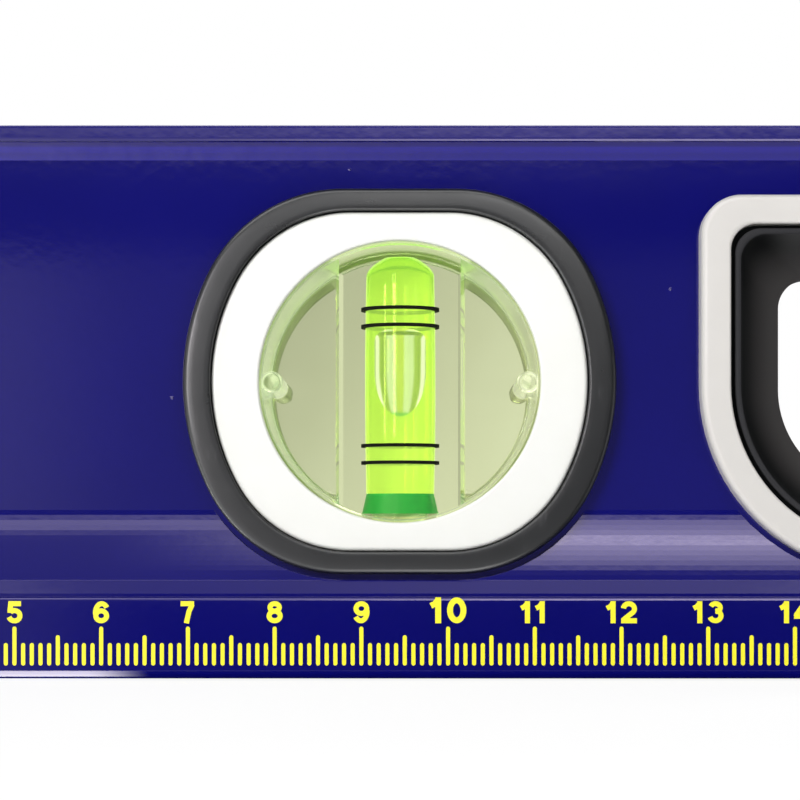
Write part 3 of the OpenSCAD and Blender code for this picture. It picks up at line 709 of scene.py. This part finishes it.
def buildPlumbVial(side, materials):
    node = f"{side}_vial_block"
    (cx, cz), (blockR, _), depth = measured(node)
    rimR = blockR - block["rimT"]
    web = block["webT"] / 2
    soft, fillet = block["edge"], block["floorFillet"]

    def aboutY(a, b, h):
        return (cx + a, h, cz + b)

    def aboutZ(a, b, h):
        return (cx + a, b, cz + h)

    # rim and web in one turned shape
    floorR = rimR - block["rimDraft"]
    half = [(0, web), (floorR - fillet, web), (floorR - fillet * 0.3, web + fillet * 0.3),
            (floorR, web + fillet), (rimR - soft / 2, depth - soft), (rimR + soft / 2, depth),
            (blockR - soft, depth), (blockR, depth - soft)]
    profile = half + [(r, -h) for r, h in reversed(half)]
    body = turned(f"{side}_vial_acrylic", profile, block["steps"], aboutY)

    # middle rib with drafted sides, inside the rim
    ribDepth = depth - block["ribDrop"]
    halfRib = block["ribW"] / 2
    section = [(-halfRib, -ribDepth), (halfRib, -ribDepth), (halfRib + block["ribDraft"], 0),
               (halfRib, ribDepth), (-halfRib, ribDepth), (-halfRib - block["ribDraft"], 0)]
    ends = [[(cx + x, y, cz + z) for x, y in section] for z in (-blockR, blockR)]
    rib = ringMesh("rib", ends, False)
    ribEnd = blockR - block["ribInset"]
    trimmer = turned("trimmer", [(0, -depth), (ribEnd, -depth), (ribEnd, depth), (0, depth)],
                     block["steps"], aboutY)
    carve(rib, [trimmer], "INTERSECT")
    lugs = []
    lugR, lugEdge = block["lugR"], block["lugEdge"]
    end = [(0, ribDepth)] + arc(lugR - lugEdge, ribDepth - lugEdge, lugEdge, 90, 0, 5)
    lug = [(r, -h) for r, h in end] + [(r, h) for r, h in reversed(end)]
    for s in (-1, 1):
        lugs.append(turned(f"lug{s}", lug, block["lugSteps"],
                           lambda a, b, h, s=s: (cx + s * (rimR - block["lugIn"]) + a, h, cz + b)))
    carve(body, [rib] + lugs, "UNION")

    # chamber and stopper seat; the bore is a little under the liquid's size, so they touch
    stopperIn = -blockR + vial["stopperSet"] + vial["stopperLen"]
    bore = chamberProfile(stopperIn, vial["top"], 0)
    seatR = vial["stopperR"] - vial["overlap"]
    seatLow, seatTop = -blockR - vial["over"], stopperIn + vial["seatLap"]
    seat = [(0, seatLow), (seatR, seatLow), (seatR, stopperIn - vial["stopperLen"]),
            (vial["boreR"] - vial["overlap"], seatTop), (0, seatTop)]
    carve(body, [turned("bore", bore, vial["steps"], aboutZ), turned("seat", seat, vial["steps"], aboutZ)])
    smooth(body.data, 30)
    dress(body, materials["block"], "clear_acrylic", node)
    body.data.materials.append(materials["rim"])
    for face in body.data.polygons:
        x, y, z = face.center / mm
        fromLug = min(math.hypot(x - cx - s * (rimR - block["lugIn"]), z - cz) for s in (-1, 1))
        onRim = math.hypot(x - cx, z - cz) > floorR - block["rimBand"]
        if onRim or (fromLug < lugR + block["lugBand"] and abs(y) > web + block["webBand"]):
            face.material_index = 1

    filling = turned(f"{side}_vial_filling", chamberProfile(stopperIn, vial["top"], vial["overlap"]),
                     vial["steps"], aboutZ)
    offset = vial["boreR"] + vial["rise"] - bubble["radius"] - bubble["wall"]

    def inLiquid(a, b, h):
        return (cx + a, b - offset, cz + h + bubble["rise"])

    pocketFaces = addBubble(filling, inLiquid)
    dress(filling, materials["liquid"], "green_liquid", f"{side}_vial_liquid")
    filling.data.materials.append(materials["bubble"])
    for face in filling.data.polygons[:pocketFaces]:
        face.material_index = 1


# Grip frames and rubber liners

grip = {"lowR": 22.2, "topR": 4.7, "frameW": 3.45, "frameInnerR": 3.0, "grooveW": 0.5, "grooveD": 1.5,
        "fit": 0.1, "wall": 1.2, "edge": 0.8, "innerEdge": 0.35, "lipW": 0.7, "lipEdge": 0.3,
        "throatSide": 10.9, "throatTop": 8.5, "throatLow": 10.2, "throatTopR": 3.6, "throatLowR": 12.2,
        "throatEdge": 0.9, "power": 1.5, "steps": 22}


def buildGrip(side, half, materials):
    flipX, flipY = sides[side], halves[half]
    frameNode = f"{side}_grip_frame_{half}"
    linerNode = f"{side}_grip_liner_{half}"
    low, high = nodeBox("left_grip_frame_front")
    faceDepth, linerDepth = measured(frameNode)[2], measured(linerNode)[2]
    inset0 = grip["frameW"] + grip["grooveW"]

    def outline(sideIn, topIn, lowIn, lowR, topR):
        return roundBox(low.x + sideIn, high.x - sideIn, low.z + lowIn, high.z - topIn, lowR, topR)

    def border(inset, depth):
        shrinking = max(grip["topR"] - inset, grip["frameInnerR"] * inset / grip["frameW"])
        topR = shrinking if inset < grip["frameW"] else grip["frameInnerR"]
        return placed(outline(inset, inset, inset, grip["lowR"] - inset, topR), depth, (0, 0), flipX, flipY)

    def funnel(t, shift, depth):
        s = t ** grip["power"]
        lip = inset0 + grip["lipW"] + shift
        shape = outline(lip + (grip["throatSide"] - lip) * s, lip + (grip["throatTop"] - lip) * s,
                        lip + (grip["throatLow"] - lip) * s,
                        (grip["lowR"] - lip) + (grip["throatLowR"] - grip["lowR"] + lip) * s,
                        grip["frameInnerR"] + (grip["throatTopR"] - grip["frameInnerR"]) * s)
        return placed(shape, depth, (0, 0), flipX, flipY)

    edge, inner = grip["edge"], grip["innerEdge"]
    floor = faceDepth - grip["grooveD"]
    rings = [border(0, webDepth)]
    rings += [border(-g, d) for g, d in arc(-edge, faceDepth - edge, edge, 0, 90, 7)]
    rings += [border(-g, d) for g, d in arc(-grip["frameW"] + inner, faceDepth - inner, inner, 90, 180, 4)]
    collar = grip["frameW"] - grip["wall"]
    rings += [border(grip["frameW"], halfDepth), border(collar, halfDepth), border(collar, webDepth)]
    rim = ringMesh(f"{side}_frame_{half}_moulding", rings)
    dress(rim, materials["frame"], "pale_plastic", frameNode)

    lip = grip["lipEdge"]
    flange = grip["frameW"] + grip["fit"]
    rings = [border(flange, halfDepth), border(flange, floor), border(inset0, floor)]
    rings += [border(inset0 - g, d) for g, d in arc(-lip, linerDepth - lip, lip, 0, 90, 4)]
    rings += [funnel(0, g, d) for g, d in arc(-lip, linerDepth - lip, lip, 90, 0, 4)]
    for i in range(1, grip["steps"] + 1):
        t = i / grip["steps"]
        rings.append(funnel(t, 0, linerDepth - lip + (grip["throatEdge"] - linerDepth + lip) * t))
    rings.append(funnel(1, 0, halfDepth))
    pad = ringMesh(f"{side}_liner_{half}_moulding", rings, True, 50)
    dress(pad, materials["liner"], "grip_rubber", linerNode)


# Printed scale on the front of the rail

scale = {"tickLow": 1.6, "small": 4.2, "middle": 5.1, "tall": 6.1, "tickW": 0.47, "cell": 1.95,
         "narrowCell": 1.7, "stroke": 0.58, "digitLow": 6.48, "tensScale": 1.17, "thick": 0.03,
         "layer": 0.004, "lanes": 2, "step": 0.3, "fineLanes": 8, "fineStep": 0.1, "capSteps": 6,
         "railTop": 9.5, "railEdge": 0.4, "railReach": 0.97, "firstTick": 1, "middleEvery": 5,
         "tallEvery": 10}


def printDepth(z):
    # depth of the painted face at this height, which rounds off at the rail's upper edge
    start = scale["railTop"] - scale["railEdge"]
    if z <= start:
        return 0.0
    rise = min(z - start, scale["railEdge"] * scale["railReach"])
    return scale["railEdge"] - math.sqrt(scale["railEdge"] ** 2 - rise ** 2)


# Centre lines of each digit in a box 1.9 wide and 2.55 high, each with whether it closes
digits = {
    "0": [(ellipse(0, 1.275, 0.66, 0.985, 0, 360, 28)[:-1], True)],
    "1": [([(0, 0), (0, 2.55)], False), ([(-0.72, 1.72), (-0.36, 1.9), (-0.02, 2.3)], False)],
    "2": [(ellipse(0, 1.66, 0.64, 0.6, 175, -38) + [(-0.6, 0.42), (-0.62, 0.29)], False),
          ([(-0.9, 0.29), (0.92, 0.29)], False)],
    "3": [(ellipse(-0.02, 1.8, 0.56, 0.46, 160, -90), False),
          (ellipse(-0.02, 0.87, 0.64, 0.58, 90, -165), False)],
    "4": [([(0.36, 0), (0.36, 2.55)], False), ([(0.3, 2.36), (-0.68, 0.98), (-0.72, 0.8)], False),
          ([(-0.95, 0.8), (0.95, 0.8)], False)],
    "5": [([(-0.68, 2.26), (0.75, 2.26)], False), ([(-0.41, 2.5), (-0.53, 1.2)], False),
          (ellipse(0, 0.87, 0.64, 0.6, 135, -165), False)],
    "6": [(ellipse(0, 0.86, 0.62, 0.57, 0, 360, 24)[:-1], True),
          (ellipse(0.06, 1.2, 0.72, 1.06, 35, 190), False)],
    "7": [([(-0.85, 2.26), (0.7, 2.26)], False), ([(0.50, 2.2), (0.12, 1.35), (-0.18, 0)], False)],
    "8": [(ellipse(0, 1.83, 0.54, 0.43, 0, 360, 24)[:-1], True),
          (ellipse(0, 0.84, 0.64, 0.55, 0, 360, 24)[:-1], True)],
    "9": [(ellipse(0, 1.69, 0.62, 0.57, 0, 360, 24)[:-1], True),
          (ellipse(-0.06, 1.35, 0.72, 1.06, -145, 10), False)],
}


def addStrip(points, faces, line, closed, width, lanes, face, lift):
    # top and sides of a strip along a centre line, in lanes that follow the face and are raised by lift
    n = len(line)
    start = len(points)
    rows = []
    for i, (x, z) in enumerate(line):
        before = line[i - 1] if i > 0 or closed else line[i]
        after = line[(i + 1) % n] if i < n - 1 or closed else line[i]
        dx, dz = after[0] - before[0], after[1] - before[1]
        length = math.hypot(dx, dz)
        shares = [(0.5 - k / lanes) * width / length for k in range(lanes + 1)]
        rows.append([(x - dz * share, z + dx * share) for share in shares])
    for row in rows:
        points += [(x, -face + printDepth(z) - scale["thick"] - lift, z) for x, z in row]
        points += [(x, -face + printDepth(z) + scale["thick"], z) for x, z in (row[0], row[-1])]
    step = lanes + 3
    for i in range(n if closed else n - 1):
        a, b = start + i * step, start + (i + 1) % n * step
        faces += [(a + k, b + k, b + k + 1, a + k + 1) for k in range(lanes)]
        faces += [(a, b, b + lanes + 1, a + lanes + 1), (a + lanes, b + lanes, b + lanes + 2, a + lanes + 2)]
    if not closed:
        for a in (start, start + (n - 1) * step):
            faces.append(tuple(a + k for k in range(lanes + 1)) + (a + lanes + 2, a + lanes + 1))


def addCapsule(points, faces, x, z0, z1, width, face):
    r = width / 2
    outline = arc(x, z1 - r, r, 0, 180, scale["capSteps"]) + arc(x, z0 + r, r, 180, 360, scale["capSteps"])
    n = len(outline)
    start = len(points)
    points += [(px, -face - scale["thick"], pz) for px, pz in outline]
    points += [(px, -face + scale["thick"], pz) for px, pz in outline]
    faces.append(tuple(start + i for i in range(n)))
    for i in range(n):
        k = (i + 1) % n
        faces.append((start + i, start + k, start + n + k, start + n + i))


def shortSteps(line, closed, longest):
    # the same line with points added, so that the print can follow a rounded edge
    result = []
    for i, (x, z) in enumerate(line):
        result.append((x, z))
        if i < len(line) - 1 or closed:
            nextX, nextZ = line[(i + 1) % len(line)]
            steps = max(1, math.ceil(math.hypot(nextX - x, nextZ - z) / longest))
            result += [(x + (nextX - x) * k / steps, z + (nextZ - z) * k / steps) for k in range(1, steps)]
    return result


def addNumber(points, faces, number, x, face):
    text = str(number)
    tens = number % 10 == 0  # larger, so they reach the rail's rounded edge and need finer strips
    size = scale["tensScale"] if tens else 1.0
    lanes, longest = (scale["fineLanes"], scale["fineStep"]) if tens else (scale["lanes"], scale["step"])
    cells = [size * (scale["narrowCell"] if digit == "1" else scale["cell"]) for digit in text]
    edge = x - sum(cells) / 2
    for digit, cell in zip(text, cells):
        for k, (line, closed) in enumerate(digits[digit]):
            moved = [(edge + cell / 2 + px * size, scale["digitLow"] + pz * size)
                     for px, pz in shortSteps(line, closed, longest)]
            addStrip(points, faces, moved, closed, scale["stroke"] * size, lanes, face, k * scale["layer"])
        edge += cell


def buildScale(materials):
    low, high = nodeBox("beam")
    face = high.y
    points, faces = [], []
    length = round(high.x - low.x)
    for tick in range(scale["firstTick"], length):
        tall, middle = tick % scale["tallEvery"] == 0, tick % scale["middleEvery"] == 0
        top = scale["tall"] if tall else scale["middle"] if middle else scale["small"]
        addCapsule(points, faces, low.x + tick, scale["tickLow"], top, scale["tickW"], face)
    for number in range(1, length // scale["tallEvery"]):
        addNumber(points, faces, number, low.x + number * scale["tallEvery"], face)
    ink = makeMesh("scale_print", points, faces, 30)
    dress(ink, materials["print"], "beam_paint")


# Light, floor, background and camera

camera = {"x": -203.7, "y": -227.5, "z": 17.0, "lens": 83.9, "sensor": 36.0, "shiftX": -0.02, "shiftY": 0.165}
lamps = {
    "key": {"place": (-0.62, -0.66, 0.34), "size": (0.34, 0.34), "power": 4.2, "colour": (1.0, 0.99, 0.98)},
    "fill": {"place": (0.35, -0.85, 0.02), "size": (0.5, 0.5), "power": 1.8, "colour": (0.98, 0.985, 1.0)},
    "sheen": {"place": (-0.54, -0.60, 0.13), "size": (0.18, 0.18), "power": 2.0, "colour": (1.0, 0.96, 0.98)},
    "back": {"place": (0.1, 0.75, 0.55), "size": (0.6, 0.4), "power": 3.6, "colour": (1.0, 1.0, 1.0)},
}
aimAt = (-0.2, 0.0, 0.03)


def placeCamera():
    data = bpy.data.cameras.new("camera")
    data.lens = camera["lens"]
    data.sensor_width = camera["sensor"]
    data.shift_x = camera["shiftX"]
    data.shift_y = camera["shiftY"]
    data.clip_start = 0.01
    made = newObject("camera", data)
    made.location = Vector((camera["x"], camera["y"], camera["z"])) * mm
    made.rotation_euler = (math.radians(90), 0, 0)
    bpy.context.scene.camera = made


def placeLamps():
    for name, lamp in lamps.items():
        data = bpy.data.lights.new(name, "AREA")
        data.shape = "RECTANGLE"
        data.size, data.size_y = lamp["size"]
        data.energy = lamp["power"]
        data.color = lamp["colour"]
        made = newObject(name, data)
        made.location = lamp["place"]
        made.rotation_euler = (Vector(aimAt) - Vector(lamp["place"])).to_track_quat("-Z", "Y").to_euler()
        # the world carries the soft boxes that the gloss shows, except for the sheen on the matt trim
        made.visible_glossy = name == "sheen"
        made.visible_diffuse = name != "sheen"


# Brightness that the gloss sees, from straight down at height -1 to straight up at height 1
studio = {
    "ambient": 0.5, "shade": 0.66, "brightest": 12.0,
    "left": [(-1.0, 0.6), (-0.94, 1.6), (-0.30, 1.6), (-0.10, 0.9), (-0.085, 0.02), (-0.034, 0.02),
             (-0.024, 0.38), (0.142, 0.38), (0.152, 0.10), (0.1955, 0.10), (0.2065, 1.4), (0.213, 1.8),
             (0.225, 2.8), (0.25, 3.2), (0.28, 2.9), (0.30, 1.4), (0.33, 0.6), (0.62, 0.45), (0.66, 4.8),
             (0.88, 4.8), (0.93, 0.7)],
    "right": [(-1.0, 1.5), (-0.90, 7.0), (-0.55, 8.0), (-0.48, 1.1), (-0.12, 1.0), (-0.085, 0.02),
              (-0.034, 0.02), (-0.024, 0.27), (0.142, 0.24), (0.152, 0.03), (0.1955, 0.04), (0.2065, 1.1),
              (0.213, 1.6), (0.221, 3.6), (0.27, 4.3), (0.33, 6.2), (0.342, 8.0), (0.354, 12.0),
              (0.364, 11.0), (0.376, 6.8), (0.41, 5.9), (0.46, 4.4), (0.51, 2.6), (0.545, 0.3),
              (0.62, 0.15), (0.66, 4.8), (0.88, 4.8), (0.93, 1.2)],
    "toRight": (-0.17, 0.09), "lowEdge": (0.138, 0.15), "nearBox": 0.42, "nearEdge": (-0.235, -0.135),
    "farBox": 1.0, "farEdge": (-0.5, -0.25), "rightBox": 1.0, "rightEdge": (0.72, 0.95),
    "beside": 0.12, "besideEdge": (0.23, 0.32), "shadeEdge": (-0.22, 0.06),
}


def skyRamp(kit, height, stops):
    top = studio["brightest"]
    shares = [((z + 1) / 2, (level / top,) * 3) for z, level in stops]
    return kit.node("ShaderNodeValToRGB", {"stops": shares}, {"Fac": height * 0.5 + 0.5}) * top


def buildWorld():
    world = bpy.data.worlds.new("studio")
    bpy.context.scene.world = world
    world.use_nodes = True
    world.cycles.sampling_method = "NONE"
    kit = Kit(world.node_tree)
    direction = kit.node("ShaderNodeTexCoord", output="Generated")
    x, z = kit.split(direction, (0, 2))
    rays = ("Is Camera Ray", "Is Glossy Ray", "Is Transmission Ray")
    isCamera, isGlossy, isTransmission = kit.node("ShaderNodeLightPath", output=rays)
    # soft boxes as the gloss sees them, the same before and behind the level
    toRight = x.ease(*studio["toRight"])
    sky = toRight * skyRamp(kit, z, studio["right"]) + (1 - toRight) * skyRamp(kit, z, studio["left"])
    low = 1 - z.ease(*studio["lowEdge"])
    box = ((1 - x.ease(*studio["nearEdge"])) * studio["nearBox"]
           + (1 - x.ease(*studio["farEdge"])) * studio["farBox"]
           + x.ease(*studio["rightEdge"]) * studio["rightBox"])
    beside = x.ease(*studio["besideEdge"])
    gloss = (1 - beside) * sky + beside * studio["beside"] + box * low
    # what shows through the clear block is shaded towards the upper left
    through = (x - z).ease(*studio["shadeEdge"]).between(studio["shade"], 1)
    seen = isCamera + (1 - isCamera) * isTransmission * through
    lit = (1 - isCamera.most(isTransmission)) * studio["ambient"]
    mirrored = isGlossy * (1 - isTransmission)
    strength = mirrored * gloss + (1 - mirrored) * (seen + lit)
    background = kit.node("ShaderNodeBackground", {}, {"Color": (1, 1, 1), "Strength": strength})
    kit.node("ShaderNodeOutputWorld", {}, {"Surface": background})


# Narrow card below the front, bright at its left end, which only the gloss of the base's rounded edge shows
card = {"left": -420.0, "right": 420.0, "near": (-16.5, -1.0), "far": (-13.2, -5.0), "under": (0.0, -5.0),
        "brightTo": -0.243, "darkFrom": -0.235, "colour": (0.95, 1.0, 0.88), "strength": 20.0}


def buildCard():
    edges = [card["near"], card["far"], card["under"]]
    corners = [(x, y, z) for y, z in edges for x in (card["left"], card["right"])]
    made = makeMesh("card", corners, [(0, 1, 3, 2), (2, 3, 5, 4)])
    material, kit = newMaterial("bright_card")
    x, y = kit.split(kit.node("ShaderNodeTexCoord", output="Object"), (0, 1))
    inFront = 1 - y.above(card["far"][0] * mm)
    glow = (1 - x.ease(card["brightTo"], card["darkFrom"])) * inFront * card["strength"]
    bright = kit.node("ShaderNodeEmission", {}, {"Color": card["colour"], "Strength": glow})
    kit.node("ShaderNodeOutputMaterial", {}, {"Surface": bright})
    made.data.materials.append(material)
    for rays in ("camera", "diffuse", "transmission", "shadow"):
        setattr(made, f"visible_{rays}", False)


floorLook = {"size": 4.0, "height": -0.1, "colour": (0.92, 0.92, 0.92), "ownLight": 0.8, "strength": 1.07}


def buildFloor():
    half = floorLook["size"] / 2 / mm
    corners = [(x * half, y * half, floorLook["height"]) for x, y in ((-1, -1), (1, -1), (1, 1), (-1, 1))]
    floor = makeMesh("floor", corners, [(0, 1, 2, 3)])
    floor.visible_glossy = False
    material, kit = newMaterial("pale_floor")
    matt = kit.node("ShaderNodeBsdfDiffuse", {}, {"Color": floorLook["colour"]})
    bright = kit.node("ShaderNodeEmission", {}, {"Color": (1, 1, 1), "Strength": floorLook["strength"]})
    rays = ("Is Camera Ray", "Is Transmission Ray")
    isCamera, isTransmission = kit.node("ShaderNodeLightPath", output=rays)
    share = isCamera.most(isTransmission) * floorLook["ownLight"]
    mixed = kit.node("ShaderNodeMixShader", {}, {0: share, 1: matt, 2: bright})
    kit.node("ShaderNodeOutputMaterial", {}, {"Surface": mixed})
    floor.data.materials.append(material)


bpy.context.scene.view_settings.view_transform = "Standard"
placeCamera()
placeLamps()
buildWorld()
buildCard()
buildFloor()
print("camera, lamps and floor placed")

# By the word in a CAD node's name; rim, bubble and print are on built pieces alone
finishes = {
    "beam": newFinish("navy_paint", paintFinish, paint),
    "cap": newFinish("cap_plastic", plainFinish, capPlastic),
    "bezel": newFinish("black_trim", bezelFinish, blackPlastic),
    "carrier": newFinish("white_carrier", plainFinish, whitePlastic),
    "block": newFinish("clear_block", acrylicFinish, acrylic),
    "liquid": newFinish("green_liquid", liquidFinish, liquid),
    "stopper": newFinish("green_stopper", plainFinish, stopperPlastic),
    "rings": newFinish("gauge_black", ringFinish, ringPlastic),
    "frame": newFinish("pale_frame", frameFinish, palePlastic),
    "liner": newFinish("soft_liner", linerFinish, gripRubber),
    "magnet": newFinish("plated_magnet", magnetFinish, magnetPlating),
    "rim": newFinish("clear_rim", rimFinish, rimLook),
    "bubble": newFinish("air_bubble", bubbleFinish, bubbleLook),
    "print": newFinish("yellow_print", plainFinish, printInk),
}
for name, node in nodes.items():
    word = next(word for word in finishes if word in name)
    node.data.materials.clear()
    node.data.materials.append(finishes[word])
print("finishes made")

for side in sides:
    for half in halves:
        buildPlumbTrim(side, half, finishes)
        buildGrip(side, half, finishes)
    buildPlumbVial(side, finishes)
print("trim, grips and plumb vials built")
buildScale(finishes)
print("scale printed")
